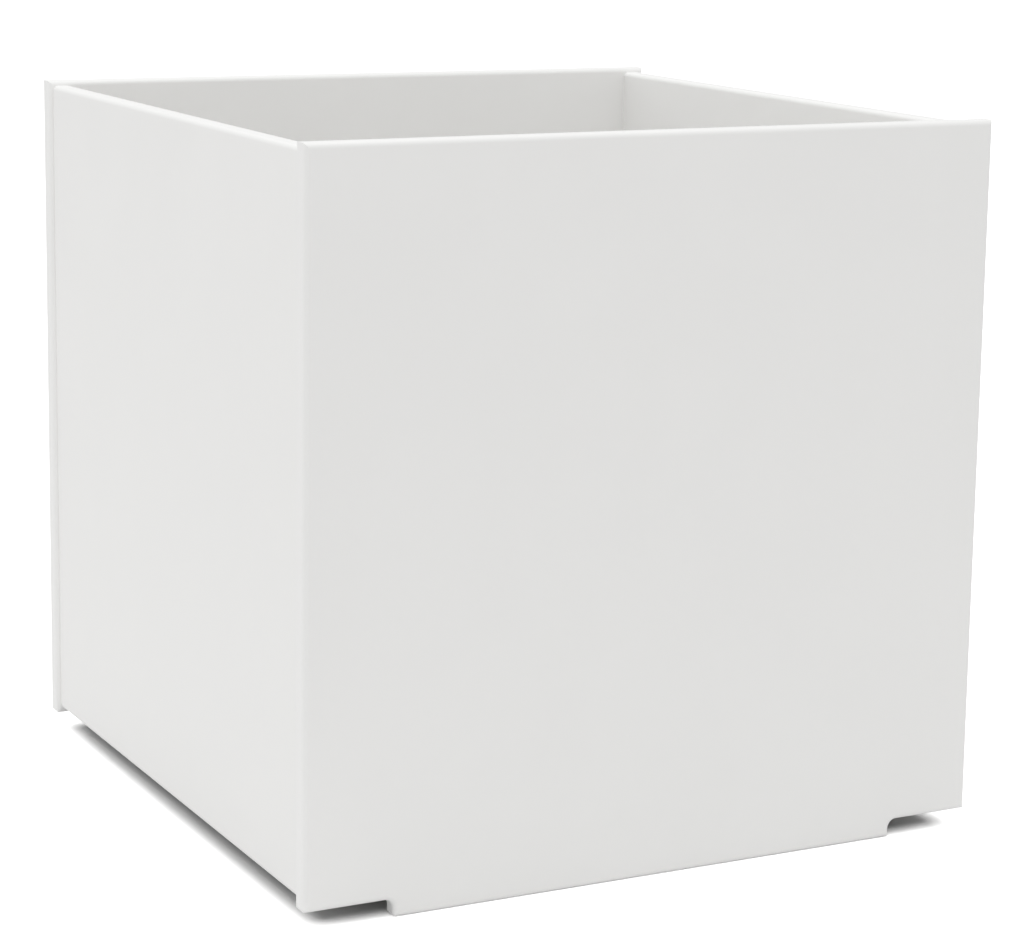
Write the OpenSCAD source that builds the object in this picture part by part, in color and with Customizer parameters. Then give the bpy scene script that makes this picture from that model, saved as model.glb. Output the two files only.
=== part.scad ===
// Square planter box of flat plastic sheet. Two wide panels, at the front and the back, stand on one long
// shallow foot each. Two narrower side panels stand between them. Four corner posts inside hold the panels,
// with flat-head screws that go through the post and stop inside the panel, so that none shows outside.
// Cleats low on each panel carry a loose floor, which lifts out along the posts.
// Millimetres. +Z is up, the front faces -Y, and the origin is on the ground under the middle of the box.

/* [Box] */
// Width of the front and back panels
box_width = 457.2; // [300:0.1:900]
// Depth over the front and back panels
box_depth = 450.8; // [300:0.1:900]
// Height from the ground to the rim of the front and back panels
box_height = 450.8; // [260:0.1:900]

/* [Panels] */
// Thickness of the sheet that the four panels are cut from
panel_t = 12.7; // [10.5:0.1:19]
// Radius of the rounded edges of the panels
edge_r = 3.2; // [1:0.1:4.5]
// How far the front and back panels stand past the side panels
overhang = 3.2; // [0:0.1:10]
// How far the rim of the side panels is below the rim of the front panel
rim_drop = 3.2; // [0:0.1:12]
// Height of the lower edge of the side panels above the ground
side_lift = 14.7; // [8:0.1:40]

/* [Feet] */
// Length of the cut-back at each end of the bottom edge, beside the foot
cutback = 57.1; // [20:0.1:120]
// Height of the foot below the rest of its panel
foot_height = 10.8; // [8:0.1:25]
// Radius of the inside corner where the foot meets its panel
foot_inner_r = 5.5; // [2:0.1:8]
// Radius of the outside corners at the bottom of the front and back panels
foot_outer_r = 2.5; // [0.5:0.1:4]

/* [Inner pieces] */
// Radius of the eased edges of the posts, the cleats and the floor
eased_r = 1.6; // [0.5:0.1:3]

/* [Corner posts] */
// Side of the square corner posts
post_w = 19; // [15:0.1:30]
// Distance from the rim of the side panels down to the top of the posts
post_drop = 76; // [20:0.1:150]
// Number of screws from each post into each of its two panels
post_screw_count = 4; // [2:1:6]
// Distance from the floor, and from the top of a post, to the nearest screw of the post
post_margin = 18; // [10:0.1:30]
// Height between a screw into a side panel and the next screw, into the front or back panel
post_stagger = 16; // [10:0.1:40]

/* [Cleats] */
// Thickness of the cleats that carry the floor
cleat_t = 12.7; // [9:0.1:20]
// Height of the cleats
cleat_h = 22; // [15:0.1:40]
// Height of the cleats and posts above the lower edge of the side panels
cleat_lift = 3; // [0:0.1:60]
// Space between the end of a cleat and the corner post
cleat_gap = 1; // [0.3:0.1:5]
// Number of screws in each cleat
cleat_screw_count = 3; // [2:1:6]
// Distance from the end of a cleat to its nearest screw
cleat_margin = 35; // [12:0.1:80]

/* [Floor] */
// Thickness of the loose floor
floor_t = 12.7; // [6:0.1:19]
// Space between the floor and the panels
floor_gap = 1.5; // [0.5:0.1:4]
// Space between the floor and the corner posts
post_gap = 2; // [1.5:0.1:5]
// Radius of the inside corners of the floor's notches
notch_r = 3.2; // [1:0.1:4]
// Diameter of the drain holes
drain_d = 19; // [6:0.1:30]
// Distance between the four outer drain holes, both ways
drain_spacing = 220; // [80:0.1:400]
// Width of the chamfer at the top of each drain hole
drain_chamfer = 1.5; // [0.5:0.1:3]

/* [Screws] */
// Diameter of the screw shanks
screw_d = 4.2; // [3:0.1:5]
// Diameter of the flat screw heads
screw_head_d = 8.2; // [6.5:0.1:9]
// Height of the straight rim of the screw head
screw_head_rim = 0.4; // [0.2:0.1:1]
// How far the screws go into the panel
screw_bite = 9.5; // [6:0.1:10]
// Length of the screw's point
screw_point = 3; // [1:0.1:5]
// Width of the square socket in the screw head
socket_w = 2.8; // [1.5:0.1:3.2]
// Depth of the square socket
socket_depth = 2; // [1:0.1:3]
// Depth of the screw head below the surface
screw_sink = 0.3; // [0:0.1:1]
// Radial clearance between a screw and its hole
screw_gap = 0.05; // [0.02:0.01:0.3]

/* [Hidden] */
$fn = 64;

// Reach of a cutter past the surface that it cuts
over = 1;

// The inside of the box, between the panels
inner_width = box_width - 2 * (overhang + panel_t);
inner_depth = box_depth - 2 * panel_t;
side_top = box_height - rim_drop;
side_height = side_top - side_lift;

// The foot, and the centre of the round corner between its right end and the panel
foot_width = box_width - 2 * cutback;
inner_corner = [foot_width / 2 + foot_inner_r, foot_height - foot_inner_r];

// Posts and cleats start at one height, and the floor lies on the cleats
post_bottom = side_lift + cleat_lift;
post_top = side_top - post_drop;
post_length = post_top - post_bottom;
post_x = (inner_width - post_w) / 2;
post_y = (inner_depth - post_w) / 2;
floor_z = post_bottom + cleat_h;

// Heights of the post screws, all above the floor: those along X, into a side panel, then those along Y
lowest_screw_z = floor_z + floor_t + post_margin;
post_pitch = (post_top - post_margin - post_stagger - lowest_screw_z) / (post_screw_count - 1);
side_levels = [for (i = [0 : post_screw_count - 1]) lowest_screw_z + i * post_pitch];
front_levels = [for (z = side_levels) z + post_stagger];

// Cleats run between the posts
wide_cleat_length = inner_width - 2 * (post_w + cleat_gap);
side_cleat_length = inner_depth - 2 * (post_w + cleat_gap);
cleat_screw_z = post_bottom + cleat_h / 2;

// The floor's size over all, how far its corner notches cut in, and the inside corner of a notch
floor_width = inner_width - 2 * floor_gap;
floor_depth = inner_depth - 2 * floor_gap;
notch = post_w + post_gap - floor_gap;
notch_corner = [floor_width / 2 - notch, floor_depth / 2 - notch];

screw_r = screw_d / 2;
head_r = screw_head_d / 2;
head_depth = screw_head_rim + head_r - screw_r;
point_r = 0.5;

plastic = [0.87, 0.87, 0.86];
inner_plastic = [0.84, 0.84, 0.83];
steel = [0.62, 0.62, 0.64];

// ---- Edge rounding ----

// What a rounding bit takes off a corner at the origin of a shape that fills the first quadrant
module cove(r) {
    difference() {
        translate([-over, -over]) square(r + over);
        translate([r, r]) circle(r);
    }
}

// Rounds an edge of a plate with its face on z = 0. The edge starts at a point and runs along an angle,
// with the plate on its left.
module edge_cove(start, angle, length, r) {
    translate([start[0], start[1], 0])
        rotate([0, 0, angle])
            rotate([90, 0, 90])
                linear_extrude(length) cove(r);
}

// Rounds the edge round an inside corner of such a plate, a quarter turn from an angle
module arc_cove(centre, angle, corner_r, r) {
    translate([centre[0], centre[1], 0])
        rotate([0, 0, angle])
            rotate_extrude(angle = 90)
                translate([corner_r, 0]) cove(r);
}

// Turns cutters for a plate's face on z = 0 over to its other face
module on_far_face(thickness) {
    translate([0, 0, thickness]) mirror([0, 0, 1]) children();
}

module rounded_rectangle(w, h, r) {
    square([w - 2 * r, h], center = true);
    square([w, h - 2 * r], center = true);
    for (x = [-1, 1], y = [-1, 1]) translate([x * (w / 2 - r), y * (h / 2 - r)]) circle(r);
}

// ---- Screws and their holes ----

// A flat-head screw along +Z, its head's face at the origin. With a margin it is the hole for that screw,
// which starts outside the surface.
module screw_shape(grip, margin) {
    top = margin > 0 ? -screw_sink - over : 0;
    tip = grip + screw_bite;
    rotate_extrude() polygon([
        [0, top],
        [head_r + margin, top],
        [head_r + margin, screw_head_rim],
        [screw_r + margin, head_depth],
        [screw_r + margin, tip - screw_point],
        [point_r + margin, tip + margin],
        [0, tip + margin]
    ]);
}

// A screw, or its hole, through a piece that starts at the origin and is grip thick
module screw(grip, margin) {
    translate([0, 0, screw_sink]) difference() {
        screw_shape(grip - screw_sink, margin);
        if (margin == 0)
            translate([-socket_w / 2, -socket_w / 2, -over]) cube([socket_w, socket_w, socket_depth + over]);
    }
}

// The screws of one post. The corner is given by the signs of its X and Y.
module side_post_screws(sx, sy, margin) {
    for (z = side_levels)
        translate([sx * (post_x - post_w / 2), sy * post_y, z])
            rotate([0, sx * 90, 0]) screw(post_w, margin);
}

module front_post_screws(sx, sy, margin) {
    for (z = front_levels)
        translate([sx * post_x, sy * (post_y - post_w / 2), z])
            rotate([-sy * 90, 0, 0]) screw(post_w, margin);
}

module post_screws(sx, sy, margin = 0) {
    side_post_screws(sx, sy, margin);
    front_post_screws(sx, sy, margin);
}

// The screws of one cleat, which runs along X in the middle of the box with its back to +Y
module cleat_screw_row(length, margin) {
    pitch = (length - 2 * cleat_margin) / (cleat_screw_count - 1);
    for (i = [0 : cleat_screw_count - 1])
        translate([-length / 2 + cleat_margin + i * pitch, -cleat_t, cleat_screw_z])
            rotate([-90, 0, 0]) screw(cleat_t, margin);
}

module wide_cleat_screws(margin = 0) {
    cleat_screw_row(wide_cleat_length, margin);
}

module side_cleat_screws(margin = 0) {
    cleat_screw_row(side_cleat_length, margin);
}

// Puts a cleat, or its screws, against the front or back panel, or against a side panel
module at_wide_panel(sy) {
    rotate([0, 0, sy > 0 ? 0 : 180]) translate([0, inner_depth / 2, 0]) children();
}

module at_side_panel(sx) {
    rotate([0, 0, -sx * 90]) translate([0, inner_width / 2, 0]) children();
}

// ---- Front and back panels ----

// Outline of a wide panel, standing on the X axis
module wide_outline() {
    difference() {
        translate([-box_width / 2, 0]) square([box_width, box_height]);
        for (s = [0, 1]) mirror([s, 0]) {
            // The cut-back beside the foot, with its round inside corner
            translate([foot_width / 2, -over]) square([cutback + over, inner_corner[1] + over]);
            translate([inner_corner[0], 0]) square([cutback, foot_height]);
            translate(inner_corner) circle(foot_inner_r);
            // The small round outside corners
            translate([foot_width / 2, 0]) mirror([1, 0]) cove(foot_outer_r);
            translate([box_width / 2, foot_height]) mirror([1, 0]) cove(foot_outer_r);
        }
    }
}

// What rounds all the edges on one face of a wide panel
module wide_coves() {
    edge_cove([-foot_width / 2 - over, 0], 0, foot_width + 2 * over, edge_r);
    edge_cove([box_width / 2 + over, box_height], 180, box_width + 2 * over, edge_r);
    for (s = [0, 1]) mirror([s, 0, 0]) {
        edge_cove([box_width / 2, foot_height - over], 90, box_height - foot_height + 2 * over, edge_r);
        edge_cove([inner_corner[0], foot_height], 0, box_width / 2 - inner_corner[0] + over, edge_r);
        edge_cove([foot_width / 2, -over], 90, inner_corner[1] + over, edge_r);
        arc_cove(inner_corner, 90, foot_inner_r, edge_r);
    }
}

// A wide panel in its own plane, its outer face on z = 0
module wide_blank() {
    difference() {
        linear_extrude(panel_t) wide_outline();
        wide_coves();
        on_far_face(panel_t) wide_coves();
    }
}

// The panel at the front for sy = -1, or at the back for sy = 1
module wide_panel(sy) {
    color(plastic) difference() {
        translate([0, sy * box_depth / 2, 0]) rotate([90, 0, sy > 0 ? 0 : 180]) wide_blank();
        for (sx = [-1, 1]) front_post_screws(sx, sy, screw_gap);
        at_wide_panel(sy) wide_cleat_screws(screw_gap);
    }
}

// ---- Side panels ----

// The panel on the left for sx = -1, or on the right for sx = 1
module side_panel(sx) {
    color(plastic) difference() {
        translate([sx * (inner_width + panel_t) / 2, inner_depth / 2, side_lift + side_height / 2])
            rotate([90, 0, 0])
                linear_extrude(inner_depth) rounded_rectangle(panel_t, side_height, edge_r);
        for (sy = [-1, 1]) side_post_screws(sx, sy, screw_gap);
        at_side_panel(sx) side_cleat_screws(screw_gap);
    }
}

// ---- Corner posts and cleats ----

// A post that stands in a corner at the origin. Its two free faces, at +X and +Y, have eased edges.
module post_blank() {
    difference() {
        linear_extrude(post_length) difference() {
            square(post_w);
            translate([post_w, post_w]) rotate(180) cove(eased_r);
        }
        on_far_face(post_length) {
            edge_cove([post_w, -over], 90, post_w + 2 * over, eased_r);
            edge_cove([post_w + over, post_w], 180, post_w + 2 * over, eased_r);
        }
    }
}

module corner_post(sx, sy) {
    color(inner_plastic) difference() {
        translate([sx * inner_width / 2, sy * inner_depth / 2, post_bottom])
            mirror([sx > 0 ? 1 : 0, 0, 0]) mirror([0, sy > 0 ? 1 : 0, 0]) post_blank();
        post_screws(sx, sy, screw_gap);
    }
}

// A cleat along X with its back to +Y and both edges of its free face eased
module cleat(length) {
    color(inner_plastic) difference() {
        translate([-length / 2, -cleat_t, post_bottom]) rotate([90, 0, 90])
            linear_extrude(length) difference() {
                square([cleat_t, cleat_h]);
                cove(eased_r);
                translate([0, cleat_h]) mirror([0, 1]) cove(eased_r);
            }
        cleat_screw_row(length, screw_gap);
    }
}

// ---- Floor ----

// Repeats a shape in all four quarters of the floor
module in_each_quarter() {
    for (x = [0, 1], y = [0, 1]) mirror([x, 0, 0]) mirror([0, y, 0]) children();
}

module floor_outline() {
    difference() {
        square([floor_width, floor_depth], center = true);
        in_each_quarter() translate(notch_corner) {
            translate([notch_r, 0]) square(notch);
            translate([0, notch_r]) square(notch);
            translate([notch_r, notch_r]) circle(notch_r);
        }
    }
}

// What eases the edges on one face of the floor, in one quarter
module floor_quarter_coves() {
    edge_cove([floor_width / 2, -over], 90, notch_corner[1] + 2 * over, eased_r);
    edge_cove([floor_width / 2 + over, notch_corner[1]], 180, notch - notch_r + over, eased_r);
    arc_cove([notch_corner[0] + notch_r, notch_corner[1] + notch_r], 180, notch_r, eased_r);
    edge_cove([notch_corner[0], notch_corner[1] + notch_r], 90, notch - notch_r + over, eased_r);
    edge_cove([notch_corner[0] + over, floor_depth / 2], 180, notch_corner[0] + 2 * over, eased_r);
}

module drain_hole() {
    translate([0, 0, -over]) cylinder(h = floor_t + 2 * over, d = drain_d);
    translate([0, 0, floor_t - drain_chamfer])
        cylinder(h = drain_chamfer + over, r1 = drain_d / 2, r2 = drain_d / 2 + drain_chamfer + over);
}

module floor_panel() {
    color(plastic) translate([0, 0, floor_z]) difference() {
        linear_extrude(floor_t) floor_outline();
        on_far_face(floor_t) in_each_quarter() floor_quarter_coves();
        drain_hole();
        for (x = [-1, 1], y = [-1, 1]) translate([x, y, 0] * drain_spacing / 2) drain_hole();
    }
}

// ---- Nodes ----

wide_panel(-1);  // front_panel
wide_panel(1);  // back_panel
side_panel(-1);  // left_panel
side_panel(1);  // right_panel
floor_panel();
corner_post(-1, -1);  // front_left_post
corner_post(1, -1);  // front_right_post
corner_post(-1, 1);  // back_left_post
corner_post(1, 1);  // back_right_post
at_wide_panel(-1) cleat(wide_cleat_length);  // front_cleat
at_wide_panel(1) cleat(wide_cleat_length);  // back_cleat
at_side_panel(-1) cleat(side_cleat_length);  // left_cleat
at_side_panel(1) cleat(side_cleat_length);  // right_cleat
color(steel) post_screws(-1, -1);  // front_left_post_screws
color(steel) post_screws(1, -1);  // front_right_post_screws
color(steel) post_screws(-1, 1);  // back_left_post_screws
color(steel) post_screws(1, 1);  // back_right_post_screws
color(steel) at_wide_panel(-1) wide_cleat_screws();  // front_cleat_screws
color(steel) at_wide_panel(1) wide_cleat_screws();  // back_cleat_screws
color(steel) at_side_panel(-1) side_cleat_screws();  // left_cleat_screws
color(steel) at_side_panel(1) side_cleat_screws();  // right_cleat_screws
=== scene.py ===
"""Looks of a square planter box of white sheet plastic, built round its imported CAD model.

The CAD panels, posts, cleats and floor are shown as they are, each with a sheet-plastic finish of its own.
The plain CAD screws are replaced by flat-head screws with a square socket, a rolled thread and a point.
Metres, +Z up, the front faces -Y, and the ground is at z = 0.
"""
import math

import bmesh
import bpy
from mathutils import Matrix, Vector


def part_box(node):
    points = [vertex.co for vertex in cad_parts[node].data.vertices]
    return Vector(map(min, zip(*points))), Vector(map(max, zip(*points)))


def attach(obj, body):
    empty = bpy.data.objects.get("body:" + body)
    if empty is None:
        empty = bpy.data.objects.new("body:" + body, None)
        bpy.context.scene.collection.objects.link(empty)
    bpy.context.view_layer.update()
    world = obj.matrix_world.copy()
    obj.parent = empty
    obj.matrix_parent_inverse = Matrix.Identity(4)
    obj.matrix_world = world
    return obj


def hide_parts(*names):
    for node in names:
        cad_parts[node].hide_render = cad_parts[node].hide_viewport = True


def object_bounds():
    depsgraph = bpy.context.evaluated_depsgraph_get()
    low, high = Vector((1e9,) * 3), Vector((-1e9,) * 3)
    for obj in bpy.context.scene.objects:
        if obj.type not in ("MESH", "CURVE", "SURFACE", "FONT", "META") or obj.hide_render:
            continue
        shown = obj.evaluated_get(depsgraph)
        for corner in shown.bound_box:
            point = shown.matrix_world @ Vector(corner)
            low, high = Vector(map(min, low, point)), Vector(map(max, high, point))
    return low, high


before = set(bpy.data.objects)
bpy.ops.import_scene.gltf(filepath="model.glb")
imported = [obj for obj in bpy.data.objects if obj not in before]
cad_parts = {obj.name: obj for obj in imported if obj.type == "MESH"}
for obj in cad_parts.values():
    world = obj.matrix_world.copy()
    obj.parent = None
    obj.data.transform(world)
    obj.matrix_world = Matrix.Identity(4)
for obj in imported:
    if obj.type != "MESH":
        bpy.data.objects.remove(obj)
cad_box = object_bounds()

MM = 0.001
BOX_BODY = "box"

# ---- Shader nodes ----


def feed(tree, node, inputs):
    """Sets each input of a node to a value, or links it to another node's output."""
    for name, value in inputs.items():
        if isinstance(value, bpy.types.NodeSocket):
            tree.links.new(value, node.inputs[name])
        else:
            node.inputs[name].default_value = value


def put(tree, kind, inputs=None, **settings):
    """Adds a shader node. An input is a value or another node's output, and a setting is a property."""
    node = tree.nodes.new("ShaderNode" + kind)
    for name, value in settings.items():
        setattr(node, name, value)
    feed(tree, node, inputs or {})
    return node


def put_math(tree, operation, first, second=0.0):
    """The result of one sum on two values."""
    return put(tree, "Math", {0: first, 1: second}, operation=operation).outputs["Value"]


def put_vector_math(tree, operation, *vectors):
    """The outputs of one sum on one or two vectors."""
    return put(tree, "VectorMath", dict(enumerate(vectors)), operation=operation).outputs


def put_range(tree, value, low, high, to_low, to_high):
    """A value that eases from to_low to to_high while the one given goes from low to high."""
    limits = {"Value": value, "From Min": low, "From Max": high, "To Min": to_low, "To Max": to_high}
    return put(tree, "MapRange", limits, interpolation_type="SMOOTHSTEP").outputs["Result"]


def put_mix(tree, factor, first, second):
    """A number between two others."""
    return put(tree, "Mix", {0: factor, 2: first, 3: second}, data_type="FLOAT").outputs[0]


def put_color_mix(tree, factor, first, second, blend_type="MIX"):
    """A colour made from two others."""
    mix = put(tree, "Mix", {0: factor, 6: first, 7: second}, data_type="RGBA", blend_type=blend_type)
    return mix.outputs[2]


def put_group(tree, group, inputs):
    """Adds one of the shared effects below."""
    node = tree.nodes.new("ShaderNodeGroup")
    node.node_tree = group
    feed(tree, node, inputs)
    return node


def start_group(name, vectors, numbers, results):
    """An empty node group with vector inputs, number inputs with their usual values, and number outputs."""
    group = bpy.data.node_groups.new(name, "ShaderNodeTree")
    for label in vectors:
        group.interface.new_socket(name=label, in_out="INPUT", socket_type="NodeSocketVector")
    for label, value in numbers.items():
        socket = group.interface.new_socket(name=label, in_out="INPUT", socket_type="NodeSocketFloat")
        socket.default_value = value
    for label in results:
        group.interface.new_socket(name=label, in_out="OUTPUT", socket_type="NodeSocketFloat")
    return group, group.nodes.new("NodeGroupInput").outputs, group.nodes.new("NodeGroupOutput").inputs


def start_material(name):
    """A new material and its node tree."""
    material = bpy.data.materials.new(name)
    material.use_nodes = True
    return material, material.node_tree


def link_finish(tree, color, roughness, height):
    """Links a colour, a roughness and a relief, in millimetres, to the material's own shader."""
    bump = put(tree, "Bump", {"Height": height, "Distance": MM})
    shader = tree.nodes["Principled BSDF"]
    tree.links.new(color, shader.inputs["Base Color"])
    tree.links.new(roughness, shader.inputs["Roughness"])
    tree.links.new(bump.outputs["Normal"], shader.inputs["Normal"])
    return shader


# ---- Camera and studio ----

CAMERA_PLACE = (-0.8644, -1.7227, 0.6135)
CAMERA_YAW = math.radians(27.5)
CAMERA_PITCH = math.radians(10.37)
CAMERA_ROLL = math.radians(0.92)
CAMERA_SENSOR = 36.0
CAMERA_LENS = 104.0
CAMERA_SHIFT = (-0.0167, -0.0792)

WORLD_LIGHT = 0.747
WORLD_SEEN = 1.1
WORLD_WHITE = (1.0, 1.0, 1.0, 1.0)

# Each softbox has its place, the length of its side, and its power in watts.
TOP_PLACE = (-0.3, -0.3, 4.5)
TOP_SIDE = 4.0
TOP_POWER = 57.0
BACK_PLACE = (0.0, 2.8, 3.5)
BACK_SIDE = 3.0
BACK_POWER = 7.7
LEFT_PLACE = (-2.5, 1.5, 1.2)
LEFT_SIDE = 1.5
LEFT_POWER = 4.8

# The ground reflects GROUND_WHITE on the box. Over the last GROUND_NEAR it is painted brighter, up to a
# higher value close to the box, as painted light that stands in for light bounced there.
# GROUND_SEEN is how bright it looks. A contact shadow is painted on it: the painted shade starts with
# SHADE_TONE inside the outline of the box, by the two insets, and is gone after SHADE_FADE.
GROUND_SIZE = 80.0
GROUND_WHITE = 0.80
GROUND_NEAR_PAINTED_BOUNCE = 0.89
GROUND_NEAR = 0.4
GROUND_SEEN = 2.0
SHADE_INSET_X = 22.5 * MM
SHADE_INSET_Y = 20.0 * MM
SHADE_FADE = 19 * MM
SHADE_TONE = 0.25


def aim(obj, forward, up_hint=Vector((0, 0, 1)), roll=0.0):
    """Turns a camera or a light so that it looks along forward, with its right side raised by roll."""
    forward = Vector(forward).normalized()
    right = forward.cross(up_hint).normalized()
    up = right.cross(forward)
    tipped_right = right * math.cos(roll) + up * math.sin(roll)
    tipped_up = up * math.cos(roll) - right * math.sin(roll)
    axes = Matrix((tipped_right, tipped_up, -forward)).transposed()
    obj.rotation_euler = axes.to_euler()


def make_camera():
    """The camera in front of the box, to its left and a little above it."""
    camera = bpy.data.objects.new("camera", bpy.data.cameras.new("camera"))
    bpy.context.scene.collection.objects.link(camera)
    camera.location = CAMERA_PLACE
    level = math.cos(CAMERA_PITCH)
    forward = (math.sin(CAMERA_YAW) * level, math.cos(CAMERA_YAW) * level, -math.sin(CAMERA_PITCH))
    aim(camera, forward, roll=CAMERA_ROLL)
    camera.data.sensor_width = CAMERA_SENSOR
    camera.data.lens = CAMERA_LENS
    camera.data.shift_x, camera.data.shift_y = CAMERA_SHIFT
    bpy.context.scene.camera = camera


def add_softbox(name, place, side, power):
    """A large square lamp that faces the middle of the box."""
    lamp = bpy.data.lights.new(name, "AREA")
    lamp.shape = "SQUARE"
    lamp.size = side
    lamp.energy = power
    obj = bpy.data.objects.new(name, lamp)
    bpy.context.scene.collection.objects.link(obj)
    obj.location = place
    middle = (cad_box[0] + cad_box[1]) / 2
    aim(obj, middle - Vector(place), up_hint=Vector((0, 1, 0)))


def make_studio():
    """White surroundings, a large lamp overhead, one high up at the back and a weak one at the back left."""
    world = bpy.data.worlds.new("white_room")
    world.use_nodes = True
    tree = world.node_tree
    path = put(tree, "LightPath")
    strength = put_mix(tree, path.outputs["Is Camera Ray"], WORLD_LIGHT, WORLD_SEEN)
    background = tree.nodes["Background"]
    background.inputs["Color"].default_value = WORLD_WHITE
    tree.links.new(strength, background.inputs["Strength"])
    bpy.context.scene.world = world
    add_softbox("top_softbox", TOP_PLACE, TOP_SIDE, TOP_POWER)
    add_softbox("back_softbox", BACK_PLACE, BACK_SIDE, BACK_POWER)
    add_softbox("left_softbox", LEFT_PLACE, LEFT_SIDE, LEFT_POWER)
    bpy.context.scene.view_settings.view_transform = "Standard"
    bpy.context.scene.view_settings.look = "None"


def make_ground():
    """A level white sheet that looks white except for a contact shadow painted on it, and is painted brighter
    close to the box so that it bounces more light on it.
    """
    bpy.ops.object.select_all(action="DESELECT")
    bpy.ops.mesh.primitive_plane_add(size=GROUND_SIZE, location=(0, 0, 0))
    ground = bpy.context.object
    ground.name = "ground"
    material, tree = start_material("ground_white")
    tree.nodes.clear()
    # Painted shadow: the ground is darkened by its distance from a rectangle a little inside the box, not by
    # any light.
    shade_x = cad_box[1].x - SHADE_INSET_X
    shade_y = cad_box[1].y - SHADE_INSET_Y
    place = put(tree, "TexCoord").outputs["Object"]
    folded = put_vector_math(tree, "ABSOLUTE", place)["Vector"]
    past = put_vector_math(tree, "SUBTRACT", folded, (shade_x, shade_y, 0))["Vector"]
    outside = put_vector_math(tree, "MAXIMUM", past, (0, 0, 0))["Vector"]
    distance = put_vector_math(tree, "LENGTH", outside)["Value"]
    painted_shadow = put_range(tree, distance, 0.0, SHADE_FADE, SHADE_TONE, 1.0)
    seen = put_math(tree, "MULTIPLY", painted_shadow, GROUND_SEEN)
    # Painted light: for the light it gives the box, the ground is painted brighter close to the box.
    painted_bounce = put_range(tree, distance, 0.0, GROUND_NEAR, GROUND_NEAR_PAINTED_BOUNCE, GROUND_WHITE)
    path = put(tree, "LightPath")
    tone = put_mix(tree, path.outputs["Is Camera Ray"], painted_bounce, seen)
    diffuse = put(tree, "BsdfDiffuse", {"Color": tone})
    output = tree.nodes.new("ShaderNodeOutputMaterial")
    tree.links.new(diffuse.outputs["BSDF"], output.inputs["Surface"])
    ground.data.materials.append(material)


make_camera()
make_studio()
make_ground()

# ---- Shared surface effects ----

# How square to the face axis a surface is where it is all skin, and where it is all cut edge
SKIN_DOT = 0.998
CUT_DOT = 0.94

# The part of a noise pattern's range that is stretched to go from 0 to 1
NOISE_LOW = 0.3
NOISE_HIGH = 0.7
NOISE_MIDDLE = 0.5

PEBBLE_SIZE = 0.9 * MM
PEBBLE_DETAIL = 1.0
PATCH_SIZE = 70 * MM
PATCH_DETAIL = 3.0
RIPPLE_SPACING = 0.9 * MM
RIPPLE_DETAIL = 1.0
HAIRLINE_SPREAD = 30 * MM
HAIRLINE_WIDTH = 0.004
HANDLED_SCALE = 9.0
HANDLED_DETAIL = 2.0
HANDLED_FROM = 0.5
HANDLED_TO = 0.7


def make_cut_edge():
    """1 on sawn and routed surfaces, 0 on the two faces of the sheet, which lie across the face axis."""
    group, given, result = start_group("cut_edge", ["Normal", "Face Axis"], {}, ["Cut"])
    facing = put_vector_math(group, "DOT_PRODUCT", given["Normal"], given["Face Axis"])["Value"]
    squareness = put_math(group, "ABSOLUTE", facing)
    group.links.new(put_range(group, squareness, CUT_DOT, SKIN_DOT, 1.0, 0.0), result["Cut"])
    return group


def make_sheet_skin():
    """The fine pebble of a pressed sheet, and slow uneven patches in its gloss and tone."""
    sizes = {"Pebble Size": PEBBLE_SIZE, "Patch Size": PATCH_SIZE}
    group, given, result = start_group("sheet_skin", ["Position"], sizes, ["Pebble", "Patches"])
    pebble_scale = put_math(group, "DIVIDE", 1.0, given["Pebble Size"])
    pebble_look = {"Vector": given["Position"], "Scale": pebble_scale, "Detail": PEBBLE_DETAIL}
    pebble = put(group, "TexNoise", pebble_look)
    group.links.new(pebble.outputs[0], result["Pebble"])
    patch_scale = put_math(group, "DIVIDE", 1.0, given["Patch Size"])
    patch_look = {"Vector": given["Position"], "Scale": patch_scale, "Detail": PATCH_DETAIL}
    patches = put(group, "TexNoise", patch_look)
    group.links.new(put_range(group, patches.outputs[0], NOISE_LOW, NOISE_HIGH, 0.0, 1.0), result["Patches"])
    return group


def make_cutter_marks():
    """Fine uneven ripples across a cut edge, one after another along the way that the cutter went."""
    sizes = {"Spacing": RIPPLE_SPACING}
    group, given, result = start_group("cutter_marks", ["Position", "Travel"], sizes, ["Ripple"])
    along = put_vector_math(group, "DOT_PRODUCT", given["Position"], given["Travel"])["Value"]
    step = put_math(group, "DIVIDE", along, given["Spacing"])
    ripple = put(group, "TexNoise", {"W": step, "Scale": 1.0, "Detail": RIPPLE_DETAIL}, noise_dimensions="1D")
    group.links.new(ripple.outputs[0], result["Ripple"])
    return group


def make_hairlines():
    """Thin stray scratches from handling, in a few patches only."""
    sizes = {"Spread": HAIRLINE_SPREAD, "Width": HAIRLINE_WIDTH}
    group, given, result = start_group("hairlines", ["Position"], sizes, ["Scratch"])
    scale = put_math(group, "DIVIDE", 1.0, given["Spread"])
    field = put(group, "TexNoise", {"Vector": given["Position"], "Scale": scale, "Detail": 0.0})
    off_line = put_math(group, "ABSOLUTE", put_math(group, "SUBTRACT", field.outputs[0], NOISE_MIDDLE))
    line = put_range(group, put_math(group, "DIVIDE", off_line, given["Width"]), 0.0, 1.0, 1.0, 0.0)
    handled_look = {"Vector": given["Position"], "Scale": HANDLED_SCALE, "Detail": HANDLED_DETAIL}
    patch = put(group, "TexNoise", handled_look)
    handled = put_range(group, patch.outputs[0], HANDLED_FROM, HANDLED_TO, 0.0, 1.0)
    group.links.new(put_math(group, "MULTIPLY", line, handled), result["Scratch"])
    return group


cut_edge = make_cut_edge()
sheet_skin = make_sheet_skin()
cutter_marks = make_cutter_marks()
hairlines = make_hairlines()

# ---- Sheet plastic ----

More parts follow.
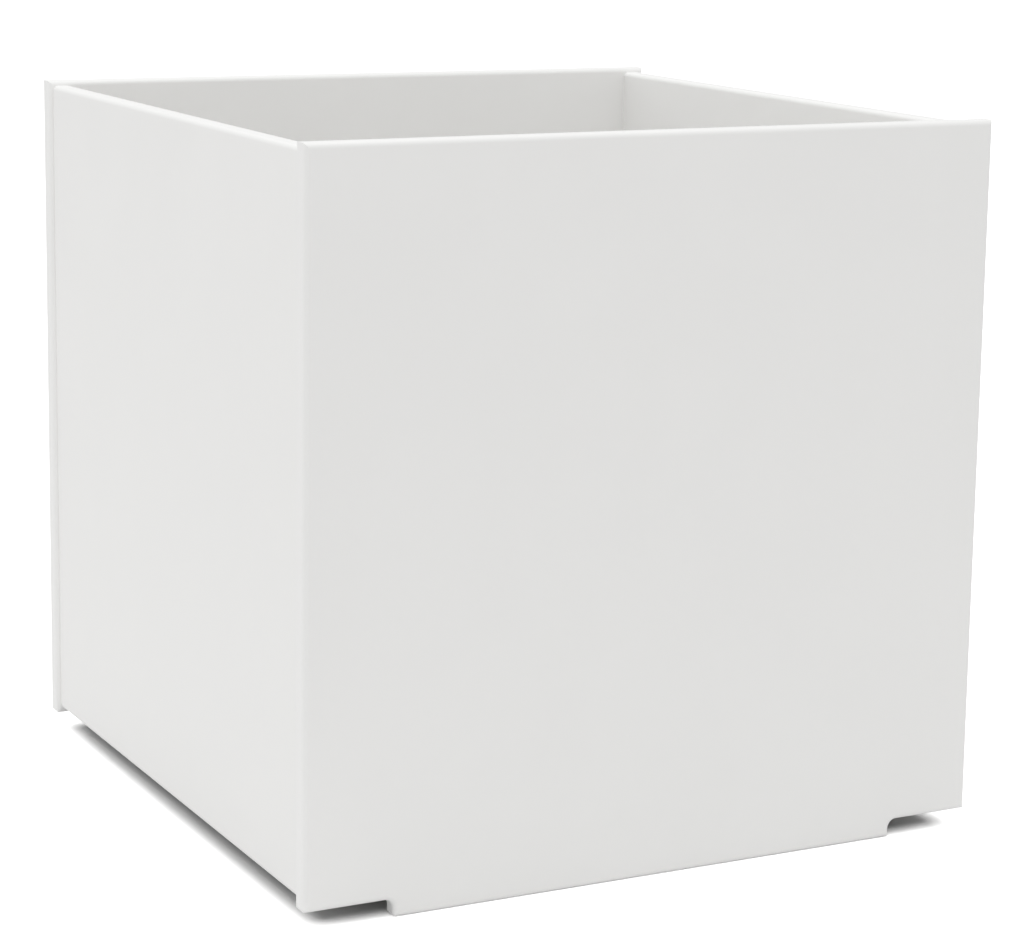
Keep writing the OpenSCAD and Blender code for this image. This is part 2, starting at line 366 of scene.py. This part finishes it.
SKIN_WHITE = (0.938, 0.935, 0.922, 1.0)
CUT_WHITE = (0.946, 0.944, 0.933, 1.0)
PATCH_TONE = 0.993
SKIN_ROUGHNESS = (0.40, 0.50)
CUT_ROUGHNESS = 0.36
SCRATCH_ROUGHNESS = 0.12
PEBBLE_DEPTH = 0.012
RIPPLE_DEPTH = 0.010
SCRATCH_DEPTH = 0.004
PLASTIC_IOR = 1.5
PATTERN_STEP = Vector((0.37, 0.71, 0.23))


def make_sheet_plastic(name, face_axis, shift):
    """White polyethylene sheet whose two faces lie across face_axis. The shift moves the pattern along."""
    material, tree = start_material(name + "_plastic")
    place = put(tree, "TexCoord").outputs
    position = put(tree, "Mapping", {"Vector": place["Object"], "Location": shift}).outputs["Vector"]
    travel = Vector((1, 1, 1)) - face_axis
    cut = put_group(tree, cut_edge, {"Normal": place["Normal"], "Face Axis": face_axis}).outputs["Cut"]
    skin = put_group(tree, sheet_skin, {"Position": position}).outputs
    ripple = put_group(tree, cutter_marks, {"Position": position, "Travel": travel}).outputs["Ripple"]
    scratch = put_group(tree, hairlines, {"Position": position}).outputs["Scratch"]

    white = put_color_mix(tree, cut, SKIN_WHITE, CUT_WHITE)
    patch_tone = put_range(tree, skin["Patches"], 0.0, 1.0, PATCH_TONE, 1.0)
    color = put_color_mix(tree, 1.0, white, patch_tone, blend_type="MULTIPLY")
    skin_roughness = put_range(tree, skin["Patches"], 0.0, 1.0, *SKIN_ROUGHNESS)
    dull = put_math(tree, "MULTIPLY", scratch, SCRATCH_ROUGHNESS)
    roughness = put_math(tree, "ADD", put_mix(tree, cut, skin_roughness, CUT_ROUGHNESS), dull)
    pebble_height = put_math(tree, "MULTIPLY", skin["Pebble"], PEBBLE_DEPTH)
    ripple_height = put_math(tree, "MULTIPLY", ripple, RIPPLE_DEPTH)
    scratch_depth = put_math(tree, "MULTIPLY", scratch, SCRATCH_DEPTH)
    height = put_math(tree, "SUBTRACT", put_mix(tree, cut, pebble_height, ripple_height), scratch_depth)

    shader = link_finish(tree, color, roughness, height)
    shader.inputs["IOR"].default_value = PLASTIC_IOR
    return material


def thinnest_way(node_name):
    """The axis along which a node is thinnest. The faces of the sheet lie across it."""
    low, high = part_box(node_name)
    sizes = [round((high - low)[i] / MM, 1) for i in range(3)]
    axis = Vector((0, 0, 0))
    axis[sizes.index(min(sizes))] = 1
    return axis


screw_nodes = sorted(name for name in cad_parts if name.endswith("_screws"))
plastic_nodes = sorted(set(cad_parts) - set(screw_nodes))
for index, node_name in enumerate(plastic_nodes):
    pattern_shift = PATTERN_STEP * index
    plastic = make_sheet_plastic(node_name, thinnest_way(node_name), pattern_shift)
    for material_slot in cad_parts[node_name].material_slots:
        material_slot.material = plastic

# ---- Screws ----

HEAD_RIM = 0.4 * MM
HEAD_BEVEL = 0.12 * MM
NECK_RADIUS = 1.6 * MM
NECK_LENGTH = 6 * MM
CORE_RADIUS = 1.3 * MM
CREST_RADIUS = 2.05 * MM
CREST_WIDTH = 0.12 * MM
THREAD_PITCH = 1.6 * MM
THREAD_SIDES = 24
# Each flank takes this share of the pitch that the crest leaves.
FLANK_SHARE = 0.3
# The thread stops this share of the point's length short of the tip.
BARE_POINT_SHARE = 0.6
POINT_LENGTH = 3 * MM
POINT_RADIUS = 0.12 * MM
SOCKET_WIDTH = 2.8 * MM
SOCKET_DEPTH = 2 * MM
SOCKET_TAPER = 0.88
# The plain core is thinner than the thread's by this factor, so that the two solids share no face.
CORE_INSIDE = 0.96
# A face is an upper one where its normal rises by more than this.
FACING_UP = 0.5
WELD = 0.001 * MM
SMOOTH_ANGLE = math.radians(35)
QUARTER = math.radians(90)
TURN_STEP = math.radians(137.5)

STEEL_DARK = (0.52, 0.52, 0.51, 1.0)
STEEL_BRIGHT = (0.66, 0.655, 0.64, 1.0)
STEEL_ROUGHNESS = (0.22, 0.40)
HAZE_SCALE = 900.0
HAZE_DETAIL = 3.0
GRAIN_SCALE = 5200.0
GRAIN_DETAIL = 1.0
GRAIN_DEPTH = 0.004


def pick_only(obj):
    """Makes one object the only selected one, and the active one."""
    bpy.ops.object.select_all(action="DESELECT")
    bpy.context.view_layer.objects.active = obj
    obj.select_set(True)


def merge_points():
    """Merges the points of the mesh being edited where they meet, and leaves it selected all over."""
    bpy.ops.mesh.select_all(action="SELECT")
    bpy.ops.mesh.remove_doubles(threshold=WELD)


def corners(obj):
    """The lowest and the highest corner of an object's mesh."""
    axes = list(zip(*(vertex.co for vertex in obj.data.vertices)))
    return Vector(map(min, axes)), Vector(map(max, axes))


def trace(name, outline):
    """A line drawn point by point: each point is a distance from the Z axis and a height."""
    bpy.ops.object.select_all(action="DESELECT")
    bpy.ops.mesh.primitive_plane_add(size=MM, location=(outline[0][0], 0, outline[0][1]))
    line = bpy.context.object
    line.name = name
    bpy.ops.object.transform_apply(location=True, rotation=False, scale=False)
    bpy.ops.object.mode_set(mode="EDIT")
    bpy.ops.mesh.merge(type="CENTER")
    for (radius, height), (next_radius, next_height) in zip(outline, outline[1:]):
        step = (next_radius - radius, 0, next_height - height)
        bpy.ops.mesh.extrude_region_move(TRANSFORM_OT_translate={"value": step})
    bpy.ops.object.mode_set(mode="OBJECT")
    return line


def sweep(line, pitch=0.0, turns=1):
    """Sweeps a traced line round the Z axis. With a pitch it climbs by that much in each turn."""
    bpy.ops.object.modifier_add(type="SCREW")
    turning = line.modifiers[-1]
    turning.axis = "Z"
    turning.angle = math.tau
    turning.steps = THREAD_SIDES
    turning.render_steps = THREAD_SIDES
    turning.screw_offset = pitch
    turning.iterations = turns
    turning.use_merge_vertices = True
    turning.merge_threshold = WELD
    bpy.ops.object.modifier_apply(modifier=turning.name)
    bpy.ops.object.mode_set(mode="EDIT")
    merge_points()
    bpy.ops.object.mode_set(mode="OBJECT")


def close_end(thread, height, is_end):
    """Draws one open end of the thread in to a point on the axis at some height."""
    bpy.ops.object.mode_set(mode="EDIT")
    shape = bmesh.from_edit_mesh(thread.data)
    bpy.ops.mesh.select_all(action="DESELECT")
    for edge in shape.edges:
        if edge.is_boundary and is_end(edge):
            edge.select_set(True)
    bmesh.update_edit_mesh(thread.data)
    bpy.ops.mesh.extrude_region_move(TRANSFORM_OT_translate={"value": (0, 0, 0)})
    bpy.ops.transform.resize(value=(0, 0, 0), center_override=(0, 0, height))
    bpy.ops.mesh.remove_doubles(threshold=WELD)
    bpy.ops.object.mode_set(mode="OBJECT")


def make_thread(start, end):
    """A closed helical ridge on a core, between two heights."""
    turns = int((end - start) / THREAD_PITCH) - 1
    flank = (THREAD_PITCH - CREST_WIDTH) * FLANK_SHARE
    root = (THREAD_PITCH - CREST_WIDTH - 2 * flank) / 2
    outline = [
        (CORE_RADIUS, start),
        (CORE_RADIUS, start + root),
        (CREST_RADIUS, start + root + flank),
        (CREST_RADIUS, start + root + flank + CREST_WIDTH),
        (CORE_RADIUS, start + root + 2 * flank + CREST_WIDTH),
        (CORE_RADIUS, start + THREAD_PITCH),
    ]
    thread = trace("thread", outline)
    sweep(thread, THREAD_PITCH, turns)
    middle = (start + end) / 2
    close_end(thread, start + THREAD_PITCH / 2, lambda edge: edge.verts[0].co.z < middle)
    close_end(thread, start + (turns + 0.5) * THREAD_PITCH, lambda edge: edge.verts[0].co.z > middle)
    return thread


def combine(solid, tool, operation):
    """Joins a second solid to a screw or cuts it away, and removes it."""
    pick_only(solid)
    bpy.ops.object.modifier_add(type="BOOLEAN")
    joint = solid.modifiers[-1]
    joint.object = tool
    joint.operation = operation
    joint.solver = "EXACT"
    bpy.ops.object.modifier_apply(modifier=joint.name)
    bpy.data.objects.remove(tool)


def face_outwards(solid):
    """Merges what meets and turns every face of a closed solid outwards."""
    pick_only(solid)
    bpy.ops.object.mode_set(mode="EDIT")
    merge_points()
    bpy.ops.mesh.normals_make_consistent(inside=False)
    bpy.ops.object.mode_set(mode="OBJECT")


def make_socket():
    """The shape of the square driver that the socket takes, a little narrower at its end."""
    bpy.ops.object.select_all(action="DESELECT")
    driver_size = (SOCKET_WIDTH, SOCKET_WIDTH, 2 * SOCKET_DEPTH)
    bpy.ops.mesh.primitive_cube_add(size=1, location=(0, 0, 0), scale=driver_size)
    driver = bpy.context.object
    bpy.ops.object.transform_apply(location=False, rotation=False, scale=True)
    bpy.ops.object.mode_set(mode="EDIT")
    shape = bmesh.from_edit_mesh(driver.data)
    bpy.ops.mesh.select_all(action="DESELECT")
    for face in shape.faces:
        if face.normal.z > FACING_UP:
            face.select_set(True)
    bmesh.update_edit_mesh(driver.data)
    bpy.ops.transform.resize(value=(SOCKET_TAPER, SOCKET_TAPER, 1), center_override=(0, 0, SOCKET_DEPTH))
    bpy.ops.object.mode_set(mode="OBJECT")
    return driver


def make_screw(length, head_radius):
    """A flat-head screw along +Z with the face of its head at the origin."""
    head_depth = HEAD_RIM + head_radius - NECK_RADIUS
    neck_end = head_depth + NECK_LENGTH
    outline = [
        (0, 0),
        (head_radius - HEAD_BEVEL, 0),
        (head_radius, HEAD_BEVEL),
        (head_radius, HEAD_RIM),
        (NECK_RADIUS, head_depth),
        (NECK_RADIUS, neck_end),
        (CORE_RADIUS * CORE_INSIDE, neck_end + (NECK_RADIUS - CORE_RADIUS)),
        (CORE_RADIUS * CORE_INSIDE, length - POINT_LENGTH),
        (POINT_RADIUS, length),
        (0, length),
    ]
    screw = trace("screw", outline)
    sweep(screw)
    face_outwards(screw)
    thread = make_thread(neck_end - THREAD_PITCH, length - POINT_LENGTH * BARE_POINT_SHARE)
    face_outwards(thread)
    combine(screw, thread, "UNION")
    driver = make_socket()
    face_outwards(driver)
    combine(screw, driver, "DIFFERENCE")
    face_outwards(screw)
    bpy.ops.object.shade_smooth_by_angle(angle=SMOOTH_ANGLE)
    return screw


def find_screws(node_name):
    """The screws of a CAD node: each head's face middle, the way it is driven, its length and its radius."""
    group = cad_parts[node_name].copy()
    group.data = group.data.copy()
    group.parent = None
    bpy.context.scene.collection.objects.link(group)
    pick_only(group)
    bpy.ops.object.mode_set(mode="EDIT")
    merge_points()
    bpy.ops.mesh.separate(type="LOOSE")
    bpy.ops.object.mode_set(mode="OBJECT")
    found = []
    for single in list(bpy.context.selected_objects):
        low, high = corners(single)
        size = high - low
        axis = max(range(3), key=lambda i: size[i])
        middle = (low + high) / 2
        drive = Vector((0, 0, 0))
        drive[axis] = math.copysign(1, middle[axis])
        found.append((tuple(middle - drive * size[axis] / 2), tuple(drive), size[axis], min(size) / 2))
        bpy.data.objects.remove(single)
    return sorted(found)


def make_screw_steel():
    """Stainless steel with uneven patches of haze in its colour and gloss, and a fine grain."""
    material, tree = start_material("screw_stainless")
    place = put(tree, "TexCoord").outputs["Object"]
    haze_look = {"Vector": place, "Scale": HAZE_SCALE, "Detail": HAZE_DETAIL}
    haze = put(tree, "TexNoise", haze_look).outputs[0]
    grain_look = {"Vector": place, "Scale": GRAIN_SCALE, "Detail": GRAIN_DETAIL}
    grain = put(tree, "TexNoise", grain_look).outputs[0]
    color = put_color_mix(tree, haze, STEEL_DARK, STEEL_BRIGHT)
    roughness = put_range(tree, haze, NOISE_LOW, NOISE_HIGH, *STEEL_ROUGHNESS)
    height = put_math(tree, "MULTIPLY", grain, GRAIN_DEPTH)
    shader = link_finish(tree, color, roughness, height)
    shader.inputs["Metallic"].default_value = 1.0
    return material


screw_steel = make_screw_steel()
models = {}
for node_name in screw_nodes:
    pieces = []
    for index, (head, drive, length, head_radius) in enumerate(find_screws(node_name)):
        size = round(length / MM, 1)
        if size not in models:
            models[size] = make_screw(length, head_radius)
            models[size].data.materials.append(screw_steel)
        driven = Vector(drive).to_track_quat("Z", "Y").to_matrix().to_4x4()
        turned = Matrix.Rotation((index * TURN_STEP) % QUARTER, 4, "Z")
        piece = bpy.data.objects.new(node_name + "_piece", models[size].data.copy())
        piece.data.transform(Matrix.Translation(head) @ driven @ turned)
        bpy.context.scene.collection.objects.link(piece)
        pieces.append(piece)
    bpy.ops.object.select_all(action="DESELECT")
    for piece in pieces:
        piece.select_set(True)
    bpy.context.view_layer.objects.active = pieces[0]
    bpy.ops.object.join()
    pieces[0].name = node_name.replace("_screws", "_square_drive_screws")
    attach(pieces[0], BOX_BODY)
    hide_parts(node_name)
for model in models.values():
    bpy.data.objects.remove(model)
